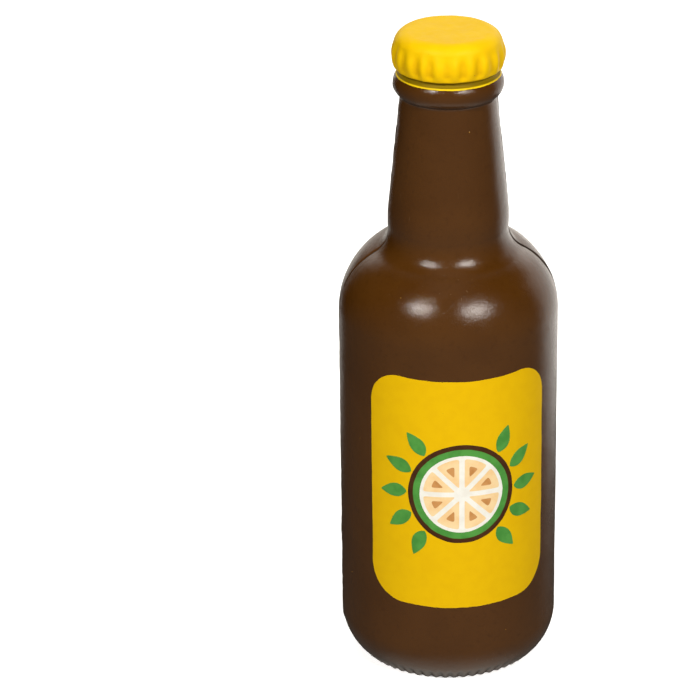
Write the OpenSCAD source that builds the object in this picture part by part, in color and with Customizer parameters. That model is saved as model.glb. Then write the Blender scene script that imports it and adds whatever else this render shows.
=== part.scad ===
// Soft foam squeeze toy in the shape of a capped soda bottle.
// A solid foam core carries a brown mould coat in two halves that meet at the
// parting plane, a yellow coat over the moulded crown, and a printed label.
// Millimetres, +Z up, origin at the centre of the base, label facing -Y.

/* [Body] */
// Height from the base to the crown's top
total_h = 135.5; // [135:0.1:136]
// Diameter of the straight body
body_d = 44.6; // [43:0.1:46]
// Height of the rounded heel above the base
heel_h = 8.5; // [7:0.5:10]
// Radius of the heel's curve
heel_r = 11.2; // [11:0.1:12]
// Height where the straight body ends and the shoulder begins
shoulder_z = 76; // [74:0.5:76.5]
// Radius of the front half's shoulder, which is the leaner of the two
front_shoulder = 14.8; // [14.5:0.1:15.5]
// Radius of the rear half's shoulder, which stands proud of the front's at the parting line
rear_shoulder = 17.5; // [17:0.1:17.8]

/* [Neck] */
// Widest radius of the neck, just above the shoulder
neck_r = 12.2; // [12:0.1:12.4]
// Height of the neck's widest point
neck_z = 96.5; // [96:0.5:98]
// Angle at which the neck narrows towards the ring
neck_taper = 6; // [5.8:0.1:6.2]
// Radius of the hollow between the front shoulder and the neck
front_hollow = 6; // [5.5:0.1:6.5]
// Radius of the hollow between the rear shoulder and the neck
rear_hollow = 2.5; // [2:0.1:3]
// Outer radius of the ring under the crown
ring_out = 11.05; // [11:0.05:11.1]
// Height of the ring's widest point
ring_z = 124.7; // [124.6:0.05:124.75]

/* [Crown] */
// Outer radius of the crown's skirt at its widest
crown_r = 11.4; // [11.3:0.05:11.5]
// Height of the skirt's lower edge
crown_z = 127.9; // [127.85:0.05:127.95]
// Height where the skirt is widest
crown_wide_z = 130.5; // [130.4:0.05:130.6]
// Angle at which the skirt leans inwards above its widest point
crown_lean = 18; // [16:1:20]
// Radius of the crown's rounded top edge
crown_edge = 2.9; // [2.6:0.1:3.2]
// Number of flutes round the skirt
flutes = 21; // [18:1:24]
// Depth of a flute where the skirt is widest
flute_depth = 0.45; // [0.3:0.05:0.5]

/* [Coats] */
// Thickness of the brown mould coat
coat = 0.4; // [0.35:0.05:0.45]
// Thickness of the yellow coat on the crown
paint = 0.3; // [0.25:0.05:0.35]
// Thickness of the label's printed panel
panel = 0.15; // [0.1:0.05:0.2]
// Thickness of the colours printed on the panel
ink = 0.1; // [0.08:0.01:0.15]

/* [Label] */
// Width of the label, measured round the body
label_w = 39.6; // [36:0.1:44]
// Height of the label
label_h = 50.8; // [46:0.1:52]
// Height of the label's lower edge above the base
label_z = 18.6; // [14:0.1:20]
// Radius of the label's upper corners
corner_top = 6.8; // [5:0.1:9]
// Radius of the label's lower corners
corner_low = 7.8; // [5:0.1:10]
// Height of the emblem's middle above the base
emblem_z = 44.5; // [40:0.5:47]
// Outer radius of the emblem's ring
emblem_r = 11; // [10.5:0.1:11.5]
// Number of segments in the emblem's fruit slice
segments = 8; // [6:1:10]

/* [Details] */
// Number of teeth in the knurled edge of the base
teeth = 60; // [48:2:72]
// Depth of the knurl
tooth_depth = 0.25; // [0.15:0.05:0.3]
// How far the trimmed flash stands proud of the parting line
flash_proud = 0.3; // [0.2:0.05:0.4]
// Thickness of the trimmed flash
flash_thick = 0.4; // [0.3:0.05:0.6]

/* [Hidden] */
$fn = 96;

brown = [0.27, 0.16, 0.07];
yellow = [0.97, 0.78, 0.05];

body_r = body_d / 2;
hip_r = 24;        // radius of the curve at the neck's widest point
ring_r = 3.1;      // radius of the ring's rounded section
ring_fillet = 0.7; // radius of the hollow between the neck and the ring
groove_r = 0.5;    // radius of the hollow between the ring and the skirt
skirt_r = 0.7;     // radius of the skirt's rounded lower edge
belly_r = 5;       // radius of the skirt's curve at its widest point
lip_angle = 35;    // where the yellow coat ends on the ring, above its widest point
flute_r = 1.5;     // radius of a flute's hollow
tooth_r = 0.45;    // radius of a notch of the knurl
bow = 0.4;         // how far the label's upper and lower edges curve
flash_low = 3;     // height where the flash starts on the heel
sag = 0.02;        // most that a curve's chord may lie inside its arc

// Points of an arc about c from angle a0 to a1
function arc(c, r, a0, a1) =
    let (n = max(2, ceil(abs(a1 - a0) / (2 * acos(1 - sag / max(r, 0.2))))))
    [for (i = [0:n]) let (a = a0 + (a1 - a0) * i / n) c + r * [cos(a), sin(a)]];
// Centre of the circle that touches two others at radii ra and rb, right of the way a to b
function meet(a, ra, b, rb) =
    let (d = norm(b - a), u = (b - a) / d, s = (ra * ra - rb * rb + d * d) / (2 * d))
    a + s * u + sqrt(ra * ra - s * s) * [u[1], -u[0]];
function heading(from, to) = atan2(to[1] - from[1], to[0] - from[0]);

// Centres of the curves that make the outline, from the base up
heel_c = [body_r - heel_r, heel_h];
hip_c = [neck_r - hip_r, neck_z];
ring_c = [ring_out - ring_r, ring_z];
belly_c = [crown_r - belly_r, crown_wide_z];
skirt_drop = crown_wide_z - crown_z - skirt_r;
skirt_c = belly_c + [sqrt(pow(belly_r - skirt_r, 2) - skirt_drop * skirt_drop), -skirt_drop];
groove_c = meet(ring_c, ring_r + groove_r, skirt_c, skirt_r + groove_r);
edge_z = total_h - crown_edge;
edge_c = [belly_c[0] + (belly_r - crown_edge) / cos(crown_lean)
    - (edge_z - crown_wide_z) * tan(crown_lean), edge_z];

// The hollow under the ring touches the straight side of the neck and the ring
side_n = [cos(neck_taper), sin(neck_taper)];
side_t = [-side_n[1], side_n[0]];
side_p = hip_c + (hip_r + ring_fillet) * side_n;
side_gap = (ring_c - side_p) * side_n;
under_c = side_p + ((ring_c - side_p) * side_t
    - sqrt(pow(ring_r + ring_fillet, 2) - side_gap * side_gap)) * side_t;

// A half's shoulder and the hollow above it, set in by t
function shoulder(t, round, hollow) =
    let (c = [body_r - round, shoulder_z], h = meet(c, round + hollow, hip_c, hip_r + hollow))
    concat(
        arc(c, round - t, 0, heading(c, h)),
        arc(h, hollow + t, heading(h, c) + 360, heading(h, hip_c)),
        arc(hip_c, hip_r - t, heading(hip_c, h), neck_taper));
// A half's outline set in by t, from the base's middle to the yellow coat's lower edge
function low_side(t, round, hollow) = concat(
    [[0, t]],
    arc(heel_c, heel_r - t, asin((t - heel_h) / (heel_r - t)), 0),
    shoulder(t, round, hollow),
    arc(under_c, ring_fillet + t, 180 + neck_taper, heading(under_c, ring_c)),
    arc(ring_c, ring_r - t, heading(ring_c, under_c), lip_angle));
// The outline set in by t, from the yellow coat's lower edge to the crown's middle
function high_side(t) = concat(
    arc(ring_c, ring_r - t, lip_angle, heading(ring_c, groove_c)),
    arc(groove_c, groove_r + t, heading(groove_c, ring_c) + 360, heading(groove_c, skirt_c)),
    arc(skirt_c, skirt_r - t, heading(skirt_c, groove_c), heading(belly_c, skirt_c)),
    arc(belly_c, belly_r - t, heading(belly_c, skirt_c), crown_lean),
    arc(edge_c, crown_edge - t, crown_lean, 90),
    [[0, total_h - t]]);

// Hollows that flute the skirt round its widest point, each grown by t
module flute_cuts(t) {
    for (i = [0:flutes - 1])
        rotate(360 / flutes * (i + 0.25))
            translate([crown_r - flute_depth + flute_r, 0, crown_z])
                cylinder(h = edge_z + 1 - crown_z, r = flute_r + t);
}

// Notches round the edge of the base
module knurl_cuts() {
    edge_r = heel_c[0] + sqrt(heel_r * heel_r - heel_h * heel_h);
    for (i = [0:teeth - 1])
        rotate(360 / teeth * (i + 0.5))
            translate([edge_r + tooth_r - tooth_depth, 0, 0])
                rotate([0, 30, 0])
                    cylinder(h = 4, r = tooth_r, center = true);
}

function front_line(t) = low_side(t, front_shoulder, front_hollow);
function rear_line(t) = low_side(t, rear_shoulder, rear_hollow);
// The foam's outline inside both coats; its crown is plain, well inside the flutes
throat_r = groove_c[0] - groove_r - paint - coat;
crown_core_r = crown_r - flute_depth - paint - coat;
core_line = concat(front_line(coat), [
    [throat_r, groove_c[1] - 0.3],
    [throat_r, groove_c[1] + 0.5],
    [crown_core_r, crown_wide_z - 1],
    [crown_core_r, crown_wide_z + 1],
    [edge_c[0] + 1.3, edge_c[1] + 0.6],
    [edge_c[0] - 0.3, total_h - 1.1],
    [0, total_h - 1.1]]);

// The gap at the parting plane that the flash fills, on the side that dir gives
module flash_gap(dir) {
    lip_z = ring_c[1] + ring_r * sin(lip_angle);
    translate([dir < 0 ? -30 : 5, -flash_thick / 2, flash_low])
        cube([25, flash_thick, lip_z - 1 - flash_low]);
}

// Half of the coat with the given outline, on the rear side unless turned
module coat_half(turn, line) {
    inner = [for (i = [len(core_line) - 1:-1:0]) core_line[i]];
    color(brown) difference() {
        rotate(turn) rotate_extrude(angle = 180)
            polygon(concat(line, high_side(paint), inner));
        flute_cuts(paint);
        knurl_cuts();
        flash_gap(-1);
        flash_gap(1);
    }
}

module flash(dir) {
    color(brown * 0.8) intersection() {
        difference() {
            rotate_extrude() polygon(concat(front_line(-flash_proud), [[0, ring_z + 1]]));
            rotate_extrude() polygon(concat(front_line(coat), [[0, ring_z + 2]]));
        }
        flash_gap(dir);
    }
}

// Points on the flat label sheet, bent round the body and seen from the front
function bent(points) =
    [for (p = points) [body_r * sin(p[0] / body_r * 180 / PI), p[1]]];
function moved(points, by) = [for (p = points) p + by];
function turned_by(points, a) =
    [for (p = points) [p[0] * cos(a) - p[1] * sin(a), p[0] * sin(a) + p[1] * cos(a)]];
function middle() = [0, emblem_z];

// Pushes a shape on the sheet out to the body as a layer between two lifts
module layer(lift, thick) {
    intersection() {
        rotate([90, 0, 0]) linear_extrude(body_r + 5) children();
        difference() {
            cylinder(h = total_h, r = body_r + lift + thick);
            translate([0, 0, -1]) cylinder(h = total_h + 2, r = body_r + lift);
        }
    }
}

// A shape of the emblem, from its points about the emblem's middle
module shape(points) {
    polygon(bent(moved(points, middle())));
}
module disc(r) {
    shape([for (i = [0:71]) r * [cos(i * 5), sin(i * 5)]]);
}

// A leaf with its stem end at the middle and its tip at the distance length
function leaf(length, width) =
    let (r = (length * length + width * width) / (4 * width), a = asin(length / 2 / r))
    concat(arc([length / 2, width / 2 - r], r, 90 + a, 90 - a),
        arc([length / 2, r - width / 2], r, 270 + a, 270 - a));
// The leaves beside the ring: distance from the middle, direction, and slant
leaves = [for (side = [0, 180], tip = [-2:2]) [side, tip * 24, side + tip * 30]];
module leaf_row(length, width) {
    for (l = leaves)
        shape(moved(turned_by(leaf(length, width), l[2]),
            (emblem_r - 1) * [cos(l[0] + l[1]), sin(l[0] + l[1])]));
}

// A segment of the fruit slice between its walls, with its point near the middle
function wedge(a, r0, r1, wall) =
    let (half = 180 / segments, g = asin(wall / 2 / r1))
    concat([turned_by([[r0, 0]], a)[0]], arc([0, 0], r1, a - half + g, a + half - g));
module wedge_row(r0, r1, wall) {
    for (i = [0:segments - 1])
        shape(wedge(360 / segments * (i + 0.5), r0, r1, wall));
}

ring_in = emblem_r - 1;
rind_in = ring_in - 1.4;
pulp_r = rind_in - 0.8;

module foam_core() {
    color([0.93, 0.88, 0.72]) rotate_extrude() polygon(core_line);
}

module coat_front() {
    coat_half(180, front_line(0));
}

module coat_rear() {
    coat_half(0, rear_line(0));
}

module flash_left() {
    flash(-1);
}

module flash_right() {
    flash(1);
}

module crown_paint() {
    base = [[0, ring_c[1] + ring_r * sin(lip_angle)]];
    color(yellow) difference() {
        rotate_extrude() polygon(concat(base, high_side(0)));
        flute_cuts(0);
        difference() {
            rotate_extrude() polygon(concat(base - [[0, 1]], high_side(paint)));
            flute_cuts(paint);
        }
    }
}

module label_panel() {
    w = label_w / 2;
    low_c = [w - corner_low, label_z + corner_low + bow];
    top_c = [w - corner_top, label_z + label_h - corner_top + bow];
    right = concat([[0, label_z]], arc(low_c, corner_low, -90, 0), arc(top_c, corner_top, 0, 90));
    left = [for (i = [len(right) - 1:-1:1]) [-right[i][0], right[i][1]]];
    color(yellow) layer(0, panel)
        polygon(bent(concat(right, [[0, label_z + label_h]], left)));
}

module print_brown() {
    color([0.2, 0.12, 0.06]) layer(panel, ink) {
        difference() {
            disc(emblem_r);
            disc(ring_in);
        }
    }
}

module print_green() {
    color([0.31, 0.58, 0.26]) layer(panel, ink) {
        difference() {
            disc(ring_in);
            disc(rind_in);
        }
        difference() {
            leaf_row(6.4, 3.4);
            disc(emblem_r);
        }
    }
}

module print_white() {
    color([0.97, 0.97, 0.94]) layer(panel, ink) difference() {
        disc(rind_in);
        wedge_row(1.3, pulp_r, 1);
    }
}

module print_cream() {
    color([0.97, 0.86, 0.66]) layer(panel, ink) difference() {
        wedge_row(1.3, pulp_r, 1);
        wedge_row(3.6, pulp_r - 1.6, 3.4);
    }
}

module print_tan() {
    color([0.78, 0.6, 0.36]) layer(panel, ink) wedge_row(3.6, pulp_r - 1.6, 3.4);
}

foam_core();
coat_front();
coat_rear();
flash_left();
flash_right();
crown_paint();
label_panel();
print_brown();
print_green();
print_white();
print_cream();
print_tan();
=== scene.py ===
"""Foam squeeze toy in the shape of a capped soda bottle: its skins, crown coat, label and prints.

Lengths are millimetres until a mesh is made. Lights, floor and camera are placed in metres.
Angles round the bottle are in radians from +X, so the label faces -pi/2.
"""

import math

import bpy
import numpy as np
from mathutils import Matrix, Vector
from mathutils.geometry import delaunay_2d_cdt


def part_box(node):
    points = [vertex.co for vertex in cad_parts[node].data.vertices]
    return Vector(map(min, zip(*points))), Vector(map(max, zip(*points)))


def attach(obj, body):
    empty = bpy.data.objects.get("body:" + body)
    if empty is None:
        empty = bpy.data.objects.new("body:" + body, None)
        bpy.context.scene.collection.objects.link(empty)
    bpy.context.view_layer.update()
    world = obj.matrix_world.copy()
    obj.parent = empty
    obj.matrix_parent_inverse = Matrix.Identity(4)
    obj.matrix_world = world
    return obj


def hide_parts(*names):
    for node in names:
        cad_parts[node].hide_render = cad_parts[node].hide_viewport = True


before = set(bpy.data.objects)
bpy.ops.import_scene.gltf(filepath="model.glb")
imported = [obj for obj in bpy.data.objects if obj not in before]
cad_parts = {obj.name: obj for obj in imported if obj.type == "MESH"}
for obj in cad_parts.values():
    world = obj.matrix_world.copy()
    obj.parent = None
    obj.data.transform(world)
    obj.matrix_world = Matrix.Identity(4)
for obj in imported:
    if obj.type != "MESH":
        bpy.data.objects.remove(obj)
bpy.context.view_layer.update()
MM = 0.001
TAU = 2 * math.pi


def cad_extent(node):
    """A CAD node's lowest and highest corners, in millimetres."""
    low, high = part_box(node)
    return np.array(low) / MM, np.array(high) / MM


# ---------------------------------------------------------------- sizes, from the frame

BODY_R = cad_extent("coat_front")[1][0]
TOTAL_H = cad_extent("crown_paint")[1][2]
LABEL_LOW, LABEL_HIGH = (corner[2] for corner in cad_extent("label_panel"))

# The arcs and lines of the CAD's outline, from the base up
HEEL_R, HEEL_H = 11.2, 8.5
SHOULDER_Z = 76.0
FRONT_SHOULDER, FRONT_HOLLOW = 14.8, 6.0
REAR_SHOULDER, REAR_HOLLOW = 17.5, 2.5
NECK_R, NECK_Z, NECK_TAPER = 12.2, 96.5, math.radians(6)
HIP_R = 24.0
RING_R, RING_OUT, RING_Z, RING_FILLET = 3.1, 11.05, 124.7, 0.7
CROWN_R, CROWN_Z, CROWN_WIDE_Z, CROWN_LEAN = 11.4, 127.9, 130.5, math.radians(18)
BELLY_R, SKIRT_R, GROOVE_R, CROWN_EDGE = 5.0, 0.7, 0.5, 2.9
LIP_ANGLE = math.radians(35)

FLUTES, FLUTE_DEPTH = 21, 0.42
FLUTE_TOP = (131.2, 134.2)  # heights between which the flutes fade out
TEETH, TOOTH_DEPTH = 60, 0.33
TOOTH_IN = (16.8, 17.8)     # radii between which the teeth of the base edge start
TOOTH_TOP = (1.0, 3.0)      # heights between which they fade out

COAT = 0.3         # thickness of the skins
ROUNDING = 6.5     # how far from the parting line the rear's shoulder starts to round down
STEP = 0.12        # how high the halves' edges stand at the parting line
PROUD = 0.22       # most that the skins stand out of the outline, at the parting line
SEAM_LOW = 1.5     # height at which the parting line starts to show
FLASH_LOW = 2.5    # height at which its flash starts
SEAM_FULL = 6      # height from which both show in full
SEAM_END = (124, 126)  # heights between which they fade out under the crown
LIP_STEP = 0.06    # how far the brown skin drops where it goes under the yellow coat
CROWN_COAT = 0.08  # thickness of the crown's coat where it ends on the skin
SKIN_SHORT = 2     # rows by which the skins stop short of the end of the crown's groove
DISH = 0.1         # how far the middle of the crown's top is sunk

LABEL_HALF = 19.8  # half the label's width, measured round the body
LABEL_BOW, CORNER_LOW, CORNER_TOP = 0.4, 7.8, 6.8
LABEL_LIFT = 0.05
INK_LIFT = 0.09
INK_THICK = 0.05
PRINT_SPACING = 0.7   # distance between the points inside a print
CIRCLE_SPACING = 0.35  # distance between the points of a printed circle
INK_ROUGH = 0.45

EMBLEM_Z, EMBLEM_R = 44.5, 11.0
RING_IN = EMBLEM_R - 1.0
RIND_IN = RING_IN - 1.4
PULP_R = RIND_IN - 0.7
SEGMENTS = 8
LEAF_STEP, LEAF_SLANT = math.radians(24), math.radians(30)
LEAF_LENGTH, LEAF_WIDTH, LEAF_GAP = 6.0, 3.0, 0.35


# ---------------------------------------------------------------- outline of the bottle

def meet(a, ra, b, rb):
    """Centre of the circle that touches two others at radii ra and rb, right of the way a to b."""
    d = b - a
    length = np.linalg.norm(d)
    u = d / length
    s = (ra * ra - rb * rb + length * length) / (2 * length)
    return a + s * u + math.sqrt(ra * ra - s * s) * np.array([u[1], -u[0]])


def heading(start, end):
    return math.atan2(end[1] - start[1], end[0] - start[0])


def arc_rows(centre, radius, a0, a1, spacing, hollow=False, count=0):
    """Rows (r, z, normal r, normal z) along an arc; a hollow's normal points to its centre."""
    count = count or max(2, math.ceil(abs(a1 - a0) * radius / spacing))
    rows = []
    for a in np.linspace(a0, a1, count + 1):
        n = np.array([math.cos(a), math.sin(a)])
        p = centre + radius * n
        rows.append([*p, *(-n if hollow else n)])
    return rows


def line_rows(start, end, spacing):
    start, end = np.array(start), np.array(end)
    d = end - start
    length = np.linalg.norm(d)
    count = max(1, math.ceil(length / spacing))
    n = np.array([d[1], -d[0]]) / length
    return [[*(start + d * t), *n] for t in np.linspace(0, 1, count + 1)]


def outline(round_r, hollow_r):
    """Rows of a half's outline from the base's middle to the crown's middle, and two marks.

    The marks are the rows where the yellow coat starts and where the groove under the skirt ends.
    """
    heel = np.array([BODY_R - HEEL_R, HEEL_H])
    shoulder = np.array([BODY_R - round_r, SHOULDER_Z])
    hip = np.array([NECK_R - HIP_R, NECK_Z])
    fillet = meet(shoulder, round_r + hollow_r, hip, HIP_R + hollow_r)
    ring = np.array([RING_OUT - RING_R, RING_Z])
    belly = np.array([CROWN_R - BELLY_R, CROWN_WIDE_Z])
    drop = CROWN_WIDE_Z - CROWN_Z - SKIRT_R
    skirt = belly + np.array([math.sqrt((BELLY_R - SKIRT_R) ** 2 - drop ** 2), -drop])
    groove = meet(ring, RING_R + GROOVE_R, skirt, SKIRT_R + GROOVE_R)
    edge_z = TOTAL_H - CROWN_EDGE
    edge = np.array([belly[0] + (BELLY_R - CROWN_EDGE) / math.cos(CROWN_LEAN)
                     - (edge_z - CROWN_WIDE_Z) * math.tan(CROWN_LEAN), edge_z])
    lean_n = np.array([math.cos(CROWN_LEAN), math.sin(CROWN_LEAN)])
    side_n = np.array([math.cos(NECK_TAPER), math.sin(NECK_TAPER)])
    side_t = np.array([-side_n[1], side_n[0]])
    side_p = hip + (HIP_R + RING_FILLET) * side_n
    gap = (ring - side_p) @ side_n
    reach = (ring - side_p) @ side_t - math.sqrt((RING_R + RING_FILLET) ** 2 - gap ** 2)
    under = side_p + reach * side_t

    base_angle = -math.asin(HEEL_H / HEEL_R)
    base_r = heel[0] + HEEL_R * math.cos(base_angle)
    rows = line_rows((0.02, 0), (base_r - 2, 0), 0.8)
    rows += line_rows((base_r - 2, 0), (base_r, 0), 0.2)
    rows += arc_rows(heel, HEEL_R, base_angle, base_angle + 0.3, 0.2)
    rows += arc_rows(heel, HEEL_R, base_angle + 0.3, 0, 0.5)
    rows += line_rows((BODY_R, HEEL_H), (BODY_R, SHOULDER_Z), 1.0)
    rows += arc_rows(shoulder, round_r, 0, heading(shoulder, fillet), 0.5, count=40)
    rows += arc_rows(fillet, hollow_r, heading(fillet, shoulder) + TAU,
                     heading(fillet, hip), 0.2, hollow=True, count=20)
    rows += arc_rows(hip, HIP_R, heading(hip, fillet), NECK_TAPER, 0.5, count=16)
    rows += line_rows(hip + HIP_R * side_n, under - RING_FILLET * side_n, 0.6)
    rows += arc_rows(under, RING_FILLET, math.pi + NECK_TAPER, heading(under, ring), 0.15,
                     hollow=True)
    rows += arc_rows(ring, RING_R, heading(ring, under), LIP_ANGLE, 0.25)
    lip = len(rows) - 1
    rows += arc_rows(ring, RING_R, LIP_ANGLE, heading(ring, groove), 0.1)
    rows += arc_rows(groove, GROOVE_R, heading(groove, ring) + TAU, heading(groove, skirt),
                     0.12, hollow=True)
    groove_end = len(rows) - 1
    rows += arc_rows(skirt, SKIRT_R, heading(skirt, groove), heading(belly, skirt), 0.1)
    rows += arc_rows(belly, BELLY_R, heading(belly, skirt), CROWN_LEAN, 0.15)
    rows += line_rows(belly + BELLY_R * lean_n, edge + CROWN_EDGE * lean_n, 0.15)
    rows += arc_rows(edge, CROWN_EDGE, CROWN_LEAN, math.pi / 2, 0.15)
    rows += line_rows((edge[0], TOTAL_H), (0.02, TOTAL_H), 0.4)

    kept = [0]  # one row of each two that fall together
    for i in range(1, len(rows)):
        step = math.hypot(rows[i][0] - rows[kept[-1]][0], rows[i][1] - rows[kept[-1]][1])
        if step > 0.02:
            kept.append(i)
    marks = [int(np.searchsorted(kept, m)) for m in (lip, groove_end)]
    return np.array(rows)[kept], marks[0], marks[1]


FRONT_OUTLINE = outline(FRONT_SHOULDER, FRONT_HOLLOW)
REAR_OUTLINE = outline(REAR_SHOULDER, REAR_HOLLOW)


# ---------------------------------------------------------------- unevenness

WAVE_COUNT = 10  # waves that are added up, each in its own direction


def waves(points, length, seed):
    """Smooth unevenness between about -1 and 1 with the given wavelength, at each point."""
    rng = np.random.default_rng(seed)
    total = np.zeros(len(points))
    for _ in range(WAVE_COUNT):
        d = rng.normal(size=3)
        d *= TAU / (length * rng.uniform(0.7, 1.5) * np.linalg.norm(d))
        total += np.sin(points @ d + rng.uniform(0, TAU))
    return total / math.sqrt(WAVE_COUNT)


def ramp(x, low, high):
    """0 below low, 1 above high, smooth between."""
    t = np.clip((x - low) / (high - low), 0, 1)
    return t * t * (3 - 2 * t)


def skin_offset(theta, r, z):
    """How far the brown skin stands out from the outline: moulding unevenness only."""
    p = np.stack([r * np.cos(theta), r * np.sin(theta), z], axis=1)
    return 0.035 * waves(p, 26, 1) + 0.012 * waves(p, 8, 2) - 0.05


# ---------------------------------------------------------------- meshes

def make_mesh(name, points, faces, replaced, mat, crease=60):
    """A piece from points in millimetres, smooth but for edges over crease degrees."""
    mesh = bpy.data.meshes.new(name)
    mesh.from_pydata((np.asarray(points) * MM).tolist(), [], faces)
    mesh.validate()
    mesh.shade_smooth()
    mesh.set_sharp_from_angle(angle=math.radians(crease))
    piece = bpy.data.objects.new(name, mesh)
    bpy.context.scene.collection.objects.link(piece)
    mesh.materials.append(mat)
    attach(piece, "root")
    if replaced:
        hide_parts(*replaced)
    return piece


def grid_faces(rows, columns, start=0, flip=False, wrap=False):
    """Quads of a grid of points that is stored row by row."""
    faces = []
    for i in range(rows - 1):
        for j in range(columns if wrap else columns - 1):
            a = start + i * columns + j
            b = start + i * columns + (j + 1) % columns
            quad = (a, b, b + columns, a + columns)
            faces.append(quad[::-1] if flip else quad)
    return faces


def shell(outer, inner, wrap=False):
    """Points and faces of a closed shell between two grids of the same shape (rows, columns, 3)."""
    rows, columns = outer.shape[:2]
    n = rows * columns
    points = np.concatenate([outer.reshape(-1, 3), inner.reshape(-1, 3)])
    faces = grid_faces(rows, columns, wrap=wrap)
    faces += grid_faces(rows, columns, start=n, flip=True, wrap=wrap)
    last = (rows - 1) * columns
    for j in range(columns if wrap else columns - 1):
        k = (j + 1) % columns
        faces.append((k, j, n + j, n + k))
        faces.append((last + j, last + k, n + last + k, n + last + j))
    if not wrap:
        for i in range(rows - 1):
            a, b = i * columns, (i + 1) * columns
            faces.append((a, b, n + b, n + a))
            a, b = a + columns - 1, b + columns - 1
            faces.append((b, a, n + a, n + b))
    return points, faces


def turned_grid(rows, theta, offset):
    """Grid of points at rows (r, z, normals) and angles theta, moved out by offset[row, theta]."""
    out = np.zeros((len(rows), len(theta), 3))
    for i, (r, z, nr, nz) in enumerate(rows):
        d = offset[i]
        radius = np.maximum(r + nr * d, 0.01)
        out[i, :, 0] = radius * np.cos(theta)
        out[i, :, 1] = radius * np.sin(theta)
        out[i, :, 2] = z + nz * d
    return out


def seam_points(side, z):
    """Points that unevenness along the parting line is taken at, far apart for the two sides."""
    return np.stack([side * 40.0 + 0 * z, 0 * z, z], axis=1)


def seam_wander(x, z):
    """How far the parting line strays from its plane, in y, on the side that x's sign gives."""
    p = seam_points(np.sign(x), z)
    return 0.12 * waves(p, 14, 5) + 0.05 * waves(p, 4, 6)


def skin_half(name, first, node, mat, front):
    """One half of the brown skin, with its edge at the parting line and its knurled base.

    The rear's shoulder is the fuller one; it rounds down to the front's at the parting line.
    """
    own, lip_row, groove_row = FRONT_OUTLINE if front else REAR_OUTLINE
    own = own[:groove_row - SKIN_SHORT]
    joint = FRONT_OUTLINE[0][:groove_row - SKIN_SHORT]
    # Angles round the half, closer together within a quarter of a radian of the parting line
    theta = np.unique(np.concatenate([
        first + np.linspace(0, 0.25, 34), first + np.linspace(0.25, math.pi - 0.25, 190),
        first + np.linspace(math.pi - 0.25, math.pi, 34)]))
    side = np.sign(np.cos(theta))
    seam_shade = np.zeros((len(own), len(theta)))
    grids = []
    for depth in (0, COAT):
        grid = np.zeros((len(own), len(theta), 3))
        for i in range(len(own)):
            away = own[i, 0] * np.abs(np.sin(theta))
            close = np.clip(1 - away / ROUNDING, 0, 1) ** 1.3
            r, z, nr, nz = own[i, :, None] + (joint[i] - own[i])[:, None] * close
            at_seam = seam_points(side, z)
            ragged = 1 + 0.35 * waves(at_seam, 7, 7) + 0.2 * waves(at_seam, 2.2, 8)
            height = ramp(z, SEAM_LOW, SEAM_FULL) * (1 - ramp(z, *SEAM_END))
            d = skin_offset(theta, r, z)
            # On the right the rear half's edge stands over the front's, on the left the front's
            over = (side < 0) == front
            rise = STEP * np.where(over, np.exp(-away / 2.0), -1.5 * np.exp(-(away / 0.4) ** 2))
            d = d + height * ragged * rise
            d = d - LIP_STEP * ramp(i, lip_row, lip_row + 3)
            # Painted shade: how strongly the dark shadow line of the parting line is painted on,
            # close to the halves' edges
            seam_shade[i] = height * np.exp(-(away / 0.22) ** 2)
            tooth = (0.5 + 0.5 * np.cos(TEETH * theta)) ** 1.3
            edge = ramp(r, *TOOTH_IN) * (1 - ramp(z, *TOOTH_TOP))
            d = d - TOOTH_DEPTH * tooth * edge
            proud = PROUD * ramp(z, 4, 8) * (1 - ramp(z, 120, 124)) * np.exp(-away / 2)
            d = np.minimum(d, proud) - depth
            radius = np.maximum(r + nr * d, 0.01)
            grid[i] = np.stack([radius * np.cos(theta), radius * np.sin(theta), z + nz * d], 1)
        x, y, z = grid[..., 0], grid[..., 1], grid[..., 2]
        near = np.exp(-np.abs(y) / 2.5) * ramp(z, SEAM_LOW, SEAM_FULL)
        shift = seam_wander(x.ravel(), z.ravel()).reshape(x.shape)
        grid[..., 1] += shift * near * ramp(np.abs(x), 3, 8)
        grid[..., 2] = np.maximum(grid[..., 2], 0.0 if depth == 0 else 0.02)
        grids.append(grid)
    points, faces = shell(grids[0], grids[1])
    piece = make_mesh(name, points, faces, [node], mat)
    store(piece, "seam_shade", np.concatenate([seam_shade.ravel(), seam_shade.ravel()]))
    return piece


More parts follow.
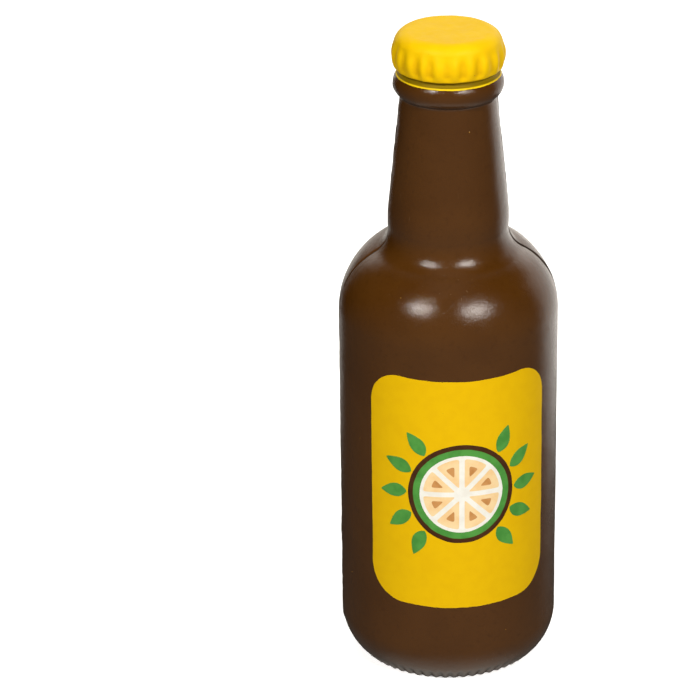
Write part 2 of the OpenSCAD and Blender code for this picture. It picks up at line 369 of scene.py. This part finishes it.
def flash_strip(name, side, mat):
    """The trimmed flash: a thin ragged rib that fills the parting line on one side, darkened all
    over as painted shade.
    """
    rows = FRONT_OUTLINE[0]
    r, z = rows[:, 0], rows[:, 1]
    rows = rows[(z > FLASH_LOW) & (z < SEAM_END[1] + 0.2) & (r > 6)]
    path = []
    for a, b in zip(rows[:-1], rows[1:]):
        n = max(1, int(np.linalg.norm(b[:2] - a[:2]) / 0.3))
        path += [a + (b - a) * t / n for t in range(n)]
    path = np.array(path)
    z = path[:, 1]
    p = seam_points(side, z)
    rise = 0.04 + 0.05 * np.clip(waves(p, 5, 11) + 0.5 * waves(p, 1.7, 12), -1.0, 1.4)
    rise = rise * ramp(z, FLASH_LOW, SEAM_FULL) * (1 - ramp(z, *SEAM_END))
    half = 0.1 + 0.03 * waves(p, 3, 13)
    wander = seam_wander(side, z) * ramp(z, SEAM_LOW, SEAM_FULL)
    rings = []
    for across, out in ((-1, -0.3), (-1, 0), (-0.4, 1), (0.4, 1), (1, 0), (1, -0.3)):
        d = np.where(out > 0, rise, out)
        x = side * (path[:, 0] + path[:, 2] * d)
        rings.append(np.stack([x, wander + across * half, z + path[:, 3] * d], axis=1))
    points = np.stack(rings, axis=1).reshape(-1, 3)
    k = len(rings)
    faces = grid_faces(len(path), k, flip=side < 0, wrap=True)
    ends = [tuple(range(k)), tuple(range(len(points) - k, len(points)))[::-1]]
    faces += [e[::-1] for e in ends] if side > 0 else ends
    piece = make_mesh(name, points, faces, [name], mat)
    # Painted shade: the whole flash takes a strong share of the parting line's painted dark
    store(piece, "seam_shade", np.full(len(points), 0.6))
    return piece


def crown_mesh(mat):
    """The yellow coat: softly fluted skirt, rounded top edge, and a thin lower edge on the ring."""
    rows, lip_row, groove_row = REAR_OUTLINE
    rows = rows[lip_row:]
    groove_row -= lip_row
    theta = np.linspace(0, TAU, 630, endpoint=False)
    round_ring = np.stack([11 * np.cos(theta), 11 * np.sin(theta), 0 * theta], axis=1)
    ragged = 0.035 * waves(round_ring, 5, 21) + 0.03 * waves(round_ring, 0.9, 22)
    rng = np.random.default_rng(4)
    strength = rng.uniform(0.65, 1.15, FLUTES)
    lean = rng.uniform(-0.06, 0.06, FLUTES)
    turns = theta * FLUTES / TAU - 0.25
    flute = np.round(turns).astype(int) % FLUTES
    within = (turns - np.round(turns)) + lean[flute]
    hollow = np.cos(np.pi * np.clip(within, -0.5, 0.5)) ** 2 * strength[flute]
    skirt_z = rows[groove_row, 1]
    outer = np.zeros((len(rows), len(theta)))
    # Painted shade for the flutes' hollows, from the flute shape and its height, stored for the
    # coat's material
    shade = np.zeros((len(rows), len(theta)))
    for i, (r, z, nr, nz) in enumerate(rows):
        p = np.stack([r * np.cos(theta), r * np.sin(theta), 0 * theta + z], axis=1)
        height = ramp(z, skirt_z + 0.2, skirt_z + 1.6) * (1 - ramp(z, *FLUTE_TOP))
        bead = ramp(z, skirt_z - 0.2, skirt_z + 0.5) * (1 - ramp(z, skirt_z + 0.5, skirt_z + 1.8))
        body = ramp(i, 4, groove_row)
        d = -(FLUTE_DEPTH * height + 0.12 * bead) * hollow * (1 if r > 8 and i >= groove_row else 0)
        d = d + body * (0.025 * waves(p, 6, 23) + 0.012 * waves(p, 2.5, 24) - 0.04)
        d = d - body * DISH * (1 - ramp(r, 1.0, 9.5)) * (1 if z > CROWN_WIDE_Z else 0)
        d = d + (1 - body) * (skin_offset(theta, np.full_like(theta, r), np.full_like(theta, z))
                              - LIP_STEP * ramp(i, 0, 3) + CROWN_COAT)
        outer[i] = np.minimum(d, 0.0) if i > 8 else d
        shade[i] = hollow * height
    inner = outer - CROWN_COAT - 0.1
    for i, blunt in enumerate((0.0, 0.6, 0.9, 1.0)):
        outer[i] -= CROWN_COAT * (1 - blunt)
        inner[i] = outer[i] - 0.02 - (CROWN_COAT + 0.08) * blunt
    grid = turned_grid(rows, theta, outer)
    back = turned_grid(rows, theta, inner)
    for g in (grid, back):
        for i, fade in enumerate(np.linspace(1, 0, 8) ** 1.5):
            g[i, :, 2] += ragged * fade
        g[..., 2] = np.minimum(g[..., 2], TOTAL_H)
    points, faces = shell(grid, back, wrap=True)
    piece = make_mesh("crown_coat", points, faces, ["crown_paint"], mat)
    store(piece, "hollow", np.concatenate([shade.ravel(), 0 * shade.ravel()]))
    return piece


def store(piece, name, values):
    """A number at each point of the piece, for its material."""
    layer = piece.data.attributes.new(name, "FLOAT", "POINT")
    layer.data.foreach_set("value", np.asarray(values, dtype=np.float32))


# ---------------------------------------------------------------- prints on the body

def inside(points, loops):
    """Whether each point lies inside an odd number of the loops."""
    odd = np.zeros(len(points), dtype=bool)
    x, y = points[:, 0], points[:, 1]
    for loop in loops:
        a, b = loop, np.roll(loop, -1, axis=0)
        for (x0, y0), (x1, y1) in zip(a, b):
            if y0 == y1:
                continue
            crossing = (y0 > y) != (y1 > y)
            odd ^= crossing & (x < (x1 - x0) * (y - y0) / (y1 - y0) + x0)
    return odd


def printed(name, loops, lift, thick, node, mat):
    """A thin closed layer on the body: loops are outlines on the flat sheet (width, height)."""
    spacing = PRINT_SPACING
    corners = np.concatenate(loops)
    edges, start = [], 0
    for loop in loops:
        n = len(loop)
        edges += [(start + i, start + (i + 1) % n) for i in range(n)]
        start += n
    low, high = corners.min(0), corners.max(0)
    gu = np.arange(low[0] + spacing / 2, high[0], spacing)
    gv = np.arange(low[1] + spacing / 2, high[1], spacing)
    inner = np.array([(u + (spacing / 2 if j % 2 else 0), v)
                      for j, v in enumerate(gv) for u in gu])
    inner = inner[inside(inner, loops)]
    near = np.min(np.linalg.norm(inner[:, None] - corners[None, ::2], axis=2), axis=1)
    inner = inner[near > spacing * 0.45]
    flat = np.concatenate([corners, inner])
    made = delaunay_2d_cdt([Vector(p) for p in flat], edges, [], 0, 1e-5)
    flat = np.array([tuple(v) for v in made[0]])
    centres = np.array([flat[list(t)].mean(0) for t in made[2]])
    triangles = [t for t, within in zip(made[2], inside(centres, loops)) if within]
    n = len(flat)
    theta = flat[:, 0] / BODY_R - math.pi / 2
    base = BODY_R + skin_offset(theta, np.full(n, BODY_R), flat[:, 1])
    points, faces = [], []
    for extra in (lift, lift - thick):
        radius = base + extra
        points.append(np.stack([radius * np.cos(theta), radius * np.sin(theta), flat[:, 1]], 1))
    sides = {}  # edges in the order met; one without its reverse is on the layer's edge
    for t in triangles:
        faces.append(t)
        faces.append(tuple(n + i for i in t[::-1]))
        sides.update(dict.fromkeys(zip(t, t[1:] + t[:1])))
    for a, b in sides:
        if (b, a) not in sides:
            faces.append((b, a, n + a, n + b))
    points = np.concatenate(points)
    used = sorted({i for f in faces for i in f})
    renumber = {old: new for new, old in enumerate(used)}
    faces = [tuple(renumber[i] for i in f) for f in faces]
    return make_mesh(name, points[used], faces, [node], mat, crease=40)


def circle(r):
    a = np.linspace(0, TAU, int(TAU * r / CIRCLE_SPACING), endpoint=False)
    return np.stack([r * np.cos(a), r * np.sin(a)], 1)


def resampled(loop, spacing):
    """The loop with points at even distances along it."""
    closed = np.vstack([loop, loop[:1]])
    steps = np.linalg.norm(np.diff(closed, axis=0), axis=1)
    along = np.concatenate([[0], np.cumsum(steps)])
    n = int(along[-1] / spacing)
    at = np.linspace(0, along[-1], n, endpoint=False)
    return np.stack([np.interp(at, along, closed[:, k]) for k in (0, 1)], 1)


def roughened(loop, amount, length, seed):
    """The loop with a slightly uneven edge, as screen printing leaves it."""
    p = np.column_stack([loop, np.zeros(len(loop))])
    ahead = np.roll(loop, -1, 0) - np.roll(loop, 1, 0)
    n = np.column_stack([ahead[:, 1], -ahead[:, 0]]) / np.linalg.norm(ahead, axis=1)[:, None]
    shift = amount * (waves(p, length, seed) + 0.6 * waves(p, length / 4, seed + 1))
    return loop + n * shift[:, None]


def label_outline():
    """The panel: round corners, and an upper edge that dips as its lower edge bulges."""
    low_corner = LABEL_LOW + LABEL_BOW + CORNER_LOW
    top_corner = LABEL_HIGH - CORNER_TOP
    loop = [(u, LABEL_LOW + LABEL_BOW * (u / (LABEL_HALF - CORNER_LOW)) ** 2)
            for u in np.linspace(CORNER_LOW - LABEL_HALF, LABEL_HALF - CORNER_LOW, 40)]

    def corner(side, radius, z, a0, a1):
        return [(side * (LABEL_HALF - radius) + radius * math.cos(a), z + radius * math.sin(a))
                for a in np.linspace(a0, a1, 30)]

    loop += corner(1, CORNER_LOW, low_corner, -math.pi / 2, 0)[1:]
    loop += corner(1, CORNER_TOP, top_corner, 0, math.pi / 2)
    loop += [(u, LABEL_HIGH - LABEL_BOW + LABEL_BOW * (u / (LABEL_HALF - CORNER_TOP)) ** 2)
             for u in np.linspace(LABEL_HALF - CORNER_TOP, CORNER_TOP - LABEL_HALF, 40)[1:]]
    loop += corner(-1, CORNER_TOP, top_corner, math.pi / 2, math.pi)[1:]
    loop += corner(-1, CORNER_LOW, low_corner, math.pi, 1.5 * math.pi)[:-1]
    return np.array(loop)


def placed(loop):
    """The loop, drawn round the emblem's middle, at its place on the label."""
    return loop + np.array([0, EMBLEM_Z])


def leaf(direction, slant, length, width, start):
    """A leaf that points away from the emblem's ring, with a slightly bent tip."""
    t = np.linspace(0, 1, 24)
    edge = width / 2 * np.sin(np.pi * t ** 0.8) ** 0.9
    spine = 0.5 * (t ** 2) * length * 0.25
    upper = np.stack([t * length, spine + edge], 1)
    lower = np.stack([t * length, spine - edge], 1)[::-1][1:-1]
    loop = np.vstack([upper, lower])
    c, s = math.cos(slant), math.sin(slant)
    loop = loop @ np.array([[c, s], [-s, c]])
    return loop + start * np.array([math.cos(direction), math.sin(direction)])


def segment(middle, r0, r1, wall):
    """A rounded segment of the fruit slice between its walls."""
    half = math.pi / SEGMENTS
    gap = math.asin(wall / 2 / r1)
    a = np.linspace(middle - half + gap, middle + half - gap, 16)
    loop = np.vstack([[r0 * math.cos(middle), r0 * math.sin(middle)],
                      np.stack([r1 * np.cos(a), r1 * np.sin(a)], 1)])
    loop = resampled(loop, 0.2)
    for _ in range(6):
        loop = (np.roll(loop, 1, 0) + 2 * loop + np.roll(loop, -1, 0)) / 4
    return loop


# ---------------------------------------------------------------- materials

def srgb(r, g, b):
    """Linear colour from 0-255 screen values."""
    out = []
    for c in (r, g, b):
        c /= 255
        out.append(c / 12.92 if c <= 0.04045 else ((c + 0.055) / 1.055) ** 2.4)
    return (*out, 1.0)


class Nodes:
    """Short calls for building one material's nodes, in millimetres on the object."""

    def __init__(self, name):
        self.material = bpy.data.materials.new(name)
        self.material.use_nodes = True
        self.tree = self.material.node_tree
        self.tree.nodes.clear()
        self.out = self.tree.nodes.new("ShaderNodeOutputMaterial")
        self.shader = self.tree.nodes.new("ShaderNodeBsdfPrincipled")
        self.link(self.shader.outputs["BSDF"], self.out.inputs["Surface"])
        coordinates = self.tree.nodes.new("ShaderNodeTexCoord")
        scale = self.tree.nodes.new("ShaderNodeMapping")
        scale.inputs["Scale"].default_value = (1 / MM,) * 3
        self.link(coordinates.outputs["Object"], scale.inputs["Vector"])
        self.at = scale.outputs["Vector"]

    def link(self, a, b):
        self.tree.links.new(a, b)

    def set(self, socket, value):
        if isinstance(value, bpy.types.NodeSocket):
            self.link(value, socket)
        else:
            socket.default_value = value

    def noise(self, size, detail=3.0, rough=0.5, stretch=None, seed=0.0):
        """Noise with features of about the given size in millimetres."""
        vector = self.at
        if stretch or seed:
            m = self.tree.nodes.new("ShaderNodeMapping")
            m.inputs["Location"].default_value = (seed, 1.7 * seed, 0.6 * seed)
            m.inputs["Scale"].default_value = stretch or (1, 1, 1)
            self.link(self.at, m.inputs["Vector"])
            vector = m.outputs["Vector"]
        n = self.tree.nodes.new("ShaderNodeTexNoise")
        n.inputs["Scale"].default_value = 1 / size
        n.inputs["Detail"].default_value = detail
        n.inputs["Roughness"].default_value = rough
        self.link(vector, n.inputs["Vector"])
        return n.outputs["Fac"]

    def cells(self, size, seed=0.0):
        """Distance from, and a random number for, scattered points a given size apart."""
        m = self.tree.nodes.new("ShaderNodeMapping")
        m.inputs["Location"].default_value = (seed, seed, seed)
        self.link(self.at, m.inputs["Vector"])
        v = self.tree.nodes.new("ShaderNodeTexVoronoi")
        v.inputs["Scale"].default_value = 1 / size
        self.link(m.outputs["Vector"], v.inputs["Vector"])
        split = self.tree.nodes.new("ShaderNodeSeparateColor")
        self.link(v.outputs["Color"], split.inputs["Color"])
        return v.outputs["Distance"], split.outputs["Red"]

    def range(self, value, low, high, to_low=0.0, to_high=1.0):
        m = self.tree.nodes.new("ShaderNodeMapRange")
        m.interpolation_type = "SMOOTHSTEP"
        self.set(m.inputs["Value"], value)
        for name, v in (("From Min", low), ("From Max", high), ("To Min", to_low),
                        ("To Max", to_high)):
            m.inputs[name].default_value = v
        return m.outputs["Result"]

    def math(self, kind, a, b=0.0):
        m = self.tree.nodes.new("ShaderNodeMath")
        m.operation = kind
        self.set(m.inputs[0], a)
        self.set(m.inputs[1], b)
        return m.outputs["Value"]

    def mix(self, amount, a, b):
        m = self.tree.nodes.new("ShaderNodeMix")
        m.data_type = "RGBA"
        self.set(m.inputs[0], amount)
        self.set(m.inputs[6], a)
        self.set(m.inputs[7], b)
        return m.outputs[2]

    def axis(self, name):
        s = self.tree.nodes.new("ShaderNodeSeparateXYZ")
        self.link(self.at, s.inputs["Vector"])
        return s.outputs[name]

    def attribute(self, name):
        a = self.tree.nodes.new("ShaderNodeAttribute")
        a.attribute_name = name
        return a.outputs["Fac"]

    def bump(self, height, depth, normal=None):
        """Bump whose full height is depth millimetres."""
        b = self.tree.nodes.new("ShaderNodeBump")
        b.inputs["Strength"].default_value = 1.0
        b.inputs["Distance"].default_value = depth * MM
        self.set(b.inputs["Height"], height)
        if normal is not None:
            self.link(normal, b.inputs["Normal"])
        return b.outputs["Normal"]

    def finish(self, colour, roughness, normal, specular):
        p = self.shader.inputs
        self.set(p["Base Color"], colour)
        self.set(p["Roughness"], roughness)
        self.link(normal, p["Normal"])
        p["Specular IOR Level"].default_value = specular
        return self.material


def brown_skin(name, tint=1.0):
    """Satin mould coat: faint mottling, yellow overspray, fine scratches, a grained surface, and
    painted shade along the parting line; a tint below 1 gives a darker, shaded copy.
    """
    m = Nodes(name)
    base, light, dark = ((*(tint * c for c in srgb(*tone)[:3]), 1.0)
                         for tone in ((73, 42, 9), (78, 46, 12), (66, 37, 6)))
    colour = m.mix(m.range(m.noise(14, 3), 0.35, 0.65), base, light)
    colour = m.mix(m.range(m.noise(1.1, 4, seed=9), 0.5, 0.8, 0, 0.5), colour, dark)
    scratch = m.range(m.noise(0.5, 2, stretch=(1, 1, 0.03), seed=31), 0.71, 0.76)
    patch = m.range(m.noise(18, 1, seed=3), 0.55, 0.7)
    scratch = m.math("MULTIPLY", scratch, patch)
    colour = m.mix(m.math("MULTIPLY", scratch, 0.3), colour, srgb(140, 110, 78))
    distance, chance = m.cells(1.6, 5)
    speck = m.math("MULTIPLY", m.range(distance, 0.09, 0.05), m.range(chance, 0.985, 0.986))
    colour = m.mix(m.math("MULTIPLY", speck, 0.75), colour, srgb(206, 150, 40))
    # Painted shade: the dark line along the parting line, from the values stored at the halves'
    # edges
    seam_shade = m.range(m.attribute("seam_shade"), 0.1, 0.9)
    colour = m.mix(m.math("MULTIPLY", seam_shade, 0.9), colour, srgb(26, 14, 5))
    grain = m.noise(0.32, 3, 0.6, seed=4)
    rough = m.range(m.noise(2.5, 4, seed=7), 0.3, 0.7, 0.17, 0.22)
    rough = m.math("MAXIMUM", rough, m.math("MULTIPLY", seam_shade, 0.9))
    normal = m.bump(grain, 0.045)
    normal = m.bump(m.noise(1.6, 2, seed=12), 0.03, normal)
    normal = m.bump(speck, 0.03, normal)
    return m.finish(colour, rough, normal, specular=0.32)


def yellow_coat():
    """Sprayed satin yellow with painted shade in the flutes' hollows and in the groove under the
    skirt, and pinholes near the rim.
    """
    m = Nodes("yellow_coat")
    colour = m.mix(m.range(m.noise(5, 3), 0.3, 0.7), srgb(240, 196, 0), srgb(237, 191, 0))
    # Painted shade: darker amber in the flutes' hollows
    hollow = m.range(m.attribute("hollow"), 0.25, 1.0)
    colour = m.mix(m.math("MULTIPLY", hollow, 0.4), colour, srgb(214, 160, 0))
    distance, chance = m.cells(1.5, 2)
    rim = m.range(m.axis("Z"), TOTAL_H - 0.6, TOTAL_H - 1.4)
    hole = m.math("MULTIPLY", m.range(distance, 0.10, 0.05), m.range(chance, 0.94, 0.945))
    hole = m.math("MULTIPLY", hole, rim)
    colour = m.mix(m.math("MULTIPLY", hole, 0.8), colour, srgb(120, 76, 22))
    # Painted shade: dark olive in the groove under the skirt's edge, where the skirt shades it
    groove = m.math("MULTIPLY", m.range(m.axis("Z"), CROWN_Z + 0.15, CROWN_Z - 0.2),
                    m.range(m.axis("Z"), CROWN_Z - 1.25, CROWN_Z - 1.1))
    colour = m.mix(m.math("MULTIPLY", groove, 0.85), colour, srgb(96, 82, 0))
    lip = m.range(m.axis("Z"), CROWN_Z - 1.1, CROWN_Z - 1.25)
    colour = m.mix(m.math("MULTIPLY", lip, 0.6), colour, srgb(226, 200, 20))
    rough = m.range(m.noise(1.2, 3, seed=5), 0.3, 0.7, 0.46, 0.56)
    normal = m.bump(m.noise(0.4, 3, 0.6, seed=8), 0.02)
    normal = m.bump(m.noise(1.8, 2, seed=15), 0.05, normal)
    return m.finish(colour, rough, normal, specular=0.1)


def printed_ink(name, colour, deep):
    """Screen-printed ink: slightly mottled, with the weave of the screen and rare pinholes."""
    m = Nodes(name)
    mottle = m.range(m.noise(2.4, 4, seed=colour[0] * 9), 0.35, 0.7)
    tint = m.mix(mottle, colour, deep)
    distance, chance = m.cells(1.1, 6)
    hole = m.math("MULTIPLY", m.range(distance, 0.07, 0.04), m.range(chance, 0.985, 0.986))
    tint = m.mix(m.math("MULTIPLY", hole, 0.5), tint, srgb(130, 96, 40))
    normal = m.bump(m.noise(0.3, 3, 0.6, seed=2), 0.012)
    normal = m.bump(m.noise(1.8, 2, seed=6), 0.01, normal)
    roughness = m.range(m.noise(1.5, 3, seed=3), 0.3, 0.7, INK_ROUGH - 0.04, INK_ROUGH + 0.06)
    return m.finish(tint, roughness, normal, specular=0.12)


def cut_foam():
    """Pale cellular foam, as it shows where the skin is cut."""
    m = Nodes("foam")
    distance, chance = m.cells(0.6)
    colour = m.mix(m.range(distance, 0.1, 0.5), srgb(226, 205, 160), srgb(245, 232, 200))
    normal = m.bump(distance, 0.15)
    rough = m.range(chance, 0.0, 1.0, 0.85, 0.95)
    return m.finish(colour, rough, normal, specular=0.2)


# ---------------------------------------------------------------- the pieces

skin = brown_skin("brown_skin")
skin_half("skin_front", math.pi, "coat_front", skin, True)
skin_half("skin_rear", 0.0, "coat_rear", skin, False)
# A darker copy of the brown skin for the flash: painted shade along the parting line
flash_shaded_material = brown_skin("flash_painted_shade", 0.7)
flash_strip("flash_left", -1, flash_shaded_material)
flash_strip("flash_right", 1, flash_shaded_material)
crown_mesh(yellow_coat())

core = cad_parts["foam_core"]
core.data.materials.clear()
core.data.materials.append(cut_foam())

label_loop = roughened(resampled(label_outline(), 0.3), 0.03, 5, 41)
printed("label_yellow", [label_loop], LABEL_LIFT, 0.05 + LABEL_LIFT, "label_panel",
        printed_ink("label_yellow", srgb(232, 187, 0), srgb(229, 183, 0)))

leaves = [leaf(side + tip * LEAF_STEP, side + tip * LEAF_SLANT, LEAF_LENGTH, LEAF_WIDTH,
               EMBLEM_R + LEAF_GAP)
          for side in (0, math.pi) for tip in (-2, -1, 0, 1, 2)]
leaf_loops = [placed(roughened(resampled(loop, 0.2), 0.015, 2, 50)) for loop in leaves]
ring_out = placed(roughened(circle(EMBLEM_R), 0.02, 3, 51))
ring_in = placed(roughened(circle(RING_IN), 0.02, 3, 52))
rind_in = placed(roughened(circle(RIND_IN), 0.02, 3, 53))
middles = [TAU / SEGMENTS * (i + 0.5) for i in range(SEGMENTS)]
pulp = [placed(segment(a, 1.4, PULP_R, 1.1)) for a in middles]
hearts = [placed(segment(a, 4.0, PULP_R - 1.5, 3.0)) for a in middles]

INKS = [
    ("print_brown", [ring_out, ring_in], "ink_brown", srgb(74, 44, 24), srgb(64, 36, 18)),
    ("print_green", [ring_in, rind_in] + leaf_loops, "ink_green", srgb(84, 156, 70),
     srgb(70, 140, 60)),
    ("print_white", [rind_in] + pulp, "ink_white", srgb(246, 246, 240), srgb(238, 236, 228)),
    ("print_cream", pulp + hearts, "ink_cream", srgb(248, 220, 170), srgb(244, 206, 150)),
    ("print_tan", hearts, "ink_tan", srgb(206, 150, 92), srgb(192, 134, 76)),
]
for name, loops, slot, colour, deep in INKS:
    printed(name.replace("print", "ink"), loops, INK_LIFT, INK_THICK, name,
            printed_ink(name, colour, deep))


# ---------------------------------------------------------------- studio

TARGET = Vector((0, 0, 0.0685))
VIEW_YAW = math.radians(-7)
VIEW_PITCH = math.radians(24.4)
VIEW_DISTANCE = 0.721
LENS, SENSOR = 181.8, 36
SHIFT_X, SHIFT_Y = -0.1406, -0.0139
LAMP_COLOUR = (1, 0.96, 0.9)
SURROUND_COLOUR = (1, 0.95, 0.86, 1)
FLOOR_HALF, FLOOR_DROP, FLOOR_GLOW = 4.0, 0.0001, 0.6

# Azimuth and elevation in degrees, distance, width and height in metres, power in watts
LAMPS = {"key_left": (-36, 40, 1.1, 0.035, 0.03, 7.4),
         "key_right": (35, 37, 1.1, 0.27, 0.2, 8.6),
         "side_right": (143, 0, 0.9, 1.0, 0.9, 4.0),
         "side_left": (-158, 0, 0.9, 0.25, 0.9, 0.4),
         "top": (0, 78, 1.2, 0.8, 0.8, 0.7),
         "ceiling": (180, 62, 1.2, 1.2, 0.7, 1.2),
         "back": (180, 30, 1.2, 1.8, 0.6, 3.6)}

# Light from the surround: its middle's direction, the cosines of the angle from there at which
# it is dark and full, and its strength
SURROUND = [((0, -0.66, -0.75), -0.35, 0.9, 0.41),
            ((0, -0.1, -1), 0.75, 1.0, 1.0),
            ((0, 0.985, 0.17), 0.84, 0.93, 0.7)]


def from_target(azimuth, elevation, distance):
    """A point round the target; azimuth is seen from the camera, positive to its right."""
    a = azimuth + VIEW_YAW
    return TARGET + distance * Vector((math.sin(a) * math.cos(elevation),
                                       -math.cos(a) * math.cos(elevation),
                                       math.sin(elevation)))


def aim(obj, target):
    """Turns a lamp or camera to face the target."""
    obj.rotation_euler = (target - obj.location).to_track_quat("-Z", "Y").to_euler()


def softbox(name, azimuth, elevation, distance, width, height, power):
    data = bpy.data.lights.new(name, "AREA")
    data.shape = "RECTANGLE"
    data.size, data.size_y = width, height
    data.energy = power
    data.color = LAMP_COLOUR
    lamp = bpy.data.objects.new(name, data)
    lamp.location = from_target(math.radians(azimuth), math.radians(elevation), distance)
    bpy.context.scene.collection.objects.link(lamp)
    aim(lamp, TARGET)


for lamp_name, values in LAMPS.items():
    softbox(lamp_name, *values)

floor_mesh = bpy.data.meshes.new("floor")
floor_mesh.from_pydata([(x * FLOOR_HALF, y * FLOOR_HALF, 0)
                        for x, y in ((-1, -1), (1, -1), (1, 1), (-1, 1))], [], [(0, 1, 2, 3)])
floor = bpy.data.objects.new("floor", floor_mesh)
floor.location.z = -FLOOR_DROP
bpy.context.scene.collection.objects.link(floor)
floor_material = bpy.data.materials.new("floor")
floor_material.use_nodes = True
floor_shader = floor_material.node_tree.nodes["Principled BSDF"]
for socket, value in (("Base Color", (0.9, 0.9, 0.9, 1)), ("Roughness", 1.0),
                      ("Specular IOR Level", 0.0), ("Emission Color", (1, 1, 1, 1)),
                      ("Emission Strength", FLOOR_GLOW)):
    floor_shader.inputs[socket].default_value = value
floor_mesh.materials.append(floor_material)
floor.visible_glossy = False
floor.visible_diffuse = False

# The camera sees a white surround. What lights the object is the table in front and below, most
# of all straight below, and the backdrop low behind.
world = bpy.data.worlds.new("studio")
world.use_nodes = True
nodes, links = world.node_tree.nodes, world.node_tree.links
direction = nodes.new("ShaderNodeTexCoord")
path = nodes.new("ShaderNodeLightPath")
strength = path.outputs["Is Camera Ray"]
for toward, dark, full, light in SURROUND:
    facing = nodes.new("ShaderNodeVectorMath")
    facing.operation = "DOT_PRODUCT"
    facing.inputs[1].default_value = Vector(toward).normalized()
    glow = nodes.new("ShaderNodeMapRange")
    glow.inputs["From Min"].default_value = dark
    glow.inputs["From Max"].default_value = full
    glow.inputs["To Max"].default_value = light
    both = nodes.new("ShaderNodeMath")
    both.operation = "ADD"
    links.new(direction.outputs["Generated"], facing.inputs[0])
    links.new(facing.outputs["Value"], glow.inputs["Value"])
    links.new(glow.outputs["Result"], both.inputs[0])
    links.new(strength, both.inputs[1])
    strength = both.outputs["Value"]
links.new(strength, nodes["Background"].inputs["Strength"])
nodes["Background"].inputs["Color"].default_value = SURROUND_COLOUR
bpy.context.scene.world = world
bpy.context.scene.view_settings.view_transform = "Standard"

camera_data = bpy.data.cameras.new("camera")
camera_data.sensor_width = SENSOR
camera_data.lens = LENS
camera_data.shift_x, camera_data.shift_y = SHIFT_X, SHIFT_Y
camera = bpy.data.objects.new("camera", camera_data)
camera.location = from_target(0, VIEW_PITCH, VIEW_DISTANCE)
aim(camera, TARGET)
bpy.context.scene.collection.objects.link(camera)
bpy.context.scene.camera = camera
